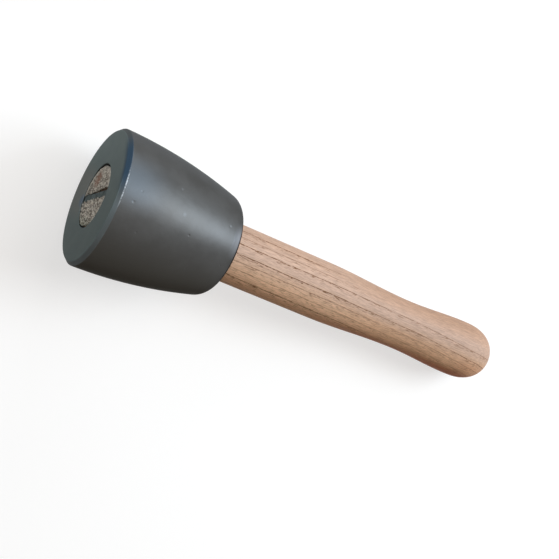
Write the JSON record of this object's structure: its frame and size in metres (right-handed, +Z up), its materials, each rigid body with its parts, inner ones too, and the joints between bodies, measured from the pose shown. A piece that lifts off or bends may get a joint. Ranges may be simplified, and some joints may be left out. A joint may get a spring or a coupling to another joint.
{
  "type": "round mason's hammer",
  "caption": "Bell-shaped turned steel striking head, wedged in line onto a short turned ash handle, for driving stone-cutting chisels.",
  "frame": {"origin": "bottom centre of the tool's box, on the floor that it lies on", "axes": "+X runs level from the crown towards the handle's end, +Z is up, and the tool rests on the head's side and the handle's swell"},
  "size_m": [0.2396, 0.07, 0.0705],
  "materials": {
    "head_steel": "turned and blackened, satin, worn brighter at the rim",
    "handle_wood": "turned ash with open pores along the grain, lightly oiled",
    "wedge_steel": "dark forged steel, hammered"
  },
  "bodies": {
    "root": {"head": "head_steel", "handle": "handle_wood", "wedge": "wedge_steel"}
  },
  "joints": []
}
